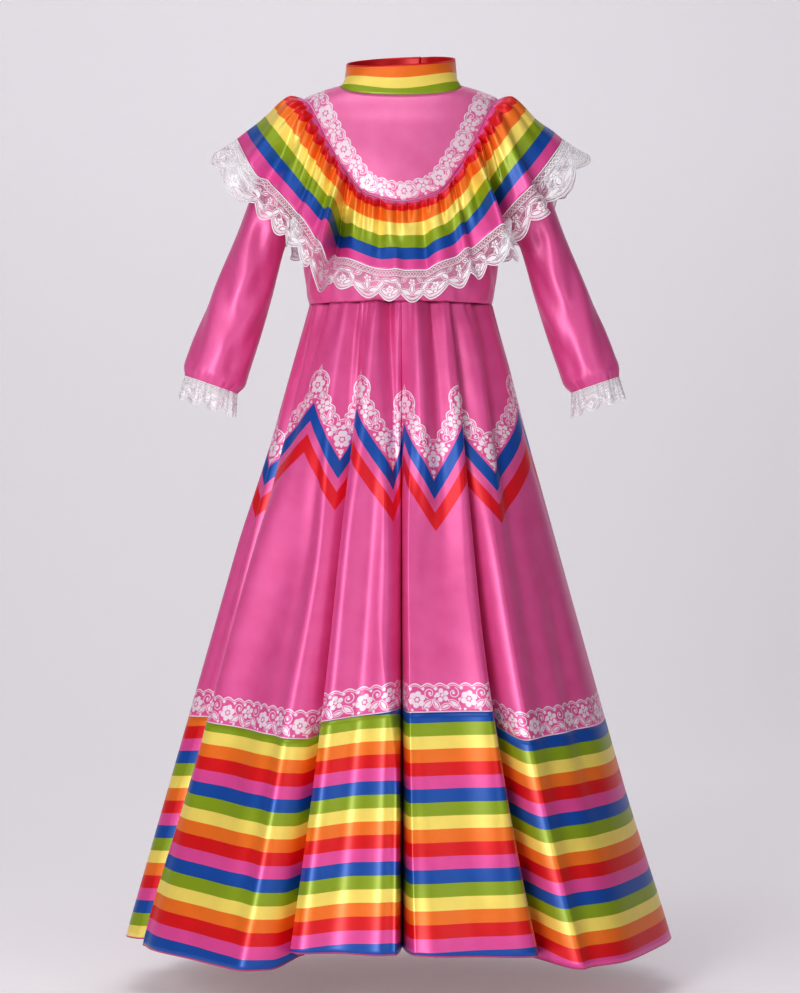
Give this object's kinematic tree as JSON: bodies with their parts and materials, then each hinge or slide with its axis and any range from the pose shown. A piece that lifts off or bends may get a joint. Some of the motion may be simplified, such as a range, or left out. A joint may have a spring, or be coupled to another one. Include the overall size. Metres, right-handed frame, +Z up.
{
  "type": "mexican folk dress",
  "caption": "Child's full-length folk dress with stand collar, gathered striped shoulder flounce edged in lace, slim sleeves with lace cuffs and a flared skirt with a striped hem tier.",
  "frame": {"origin": "the middle of the neck base, level with the tops of the shoulders, where the wearer's shoulders hold the dress up", "axes": "+Z up, the front of the dress faces -Y, +X towards the wearer's left"},
  "size_m": [0.6145, 0.5117, 1.0202],
  "materials": {
    "pink_satin": "smooth polyester satin with a soft sheen",
    "striped_satin": "satin printed with even stripes in blue, green, yellow, orange, red and pink",
    "white_lace": "white net lace with corded scallops"
  },
  "bodies": {
    "root": {"collar": "striped_satin", "yoke_front": "pink_satin", "yoke_back_left": "pink_satin", "yoke_back_right": "pink_satin", "bodice_front": "pink_satin", "bodice_back": "pink_satin", "flounce_front": "striped_satin", "flounce_back": "striped_satin", "flounce_lace_front": "white_lace", "flounce_lace_back": "white_lace", "sleeve_right": "pink_satin", "sleeve_left": "pink_satin", "cuff_lace_right": "white_lace", "cuff_lace_left": "white_lace", "skirt_front_right": "pink_satin", "skirt_front_left": "pink_satin", "skirt_back_left": "pink_satin", "skirt_back_right": "pink_satin", "tier_front_right": "striped_satin", "tier_front_left": "striped_satin", "tier_back_left": "striped_satin", "tier_back_right": "striped_satin"}
  },
  "joints": []
}
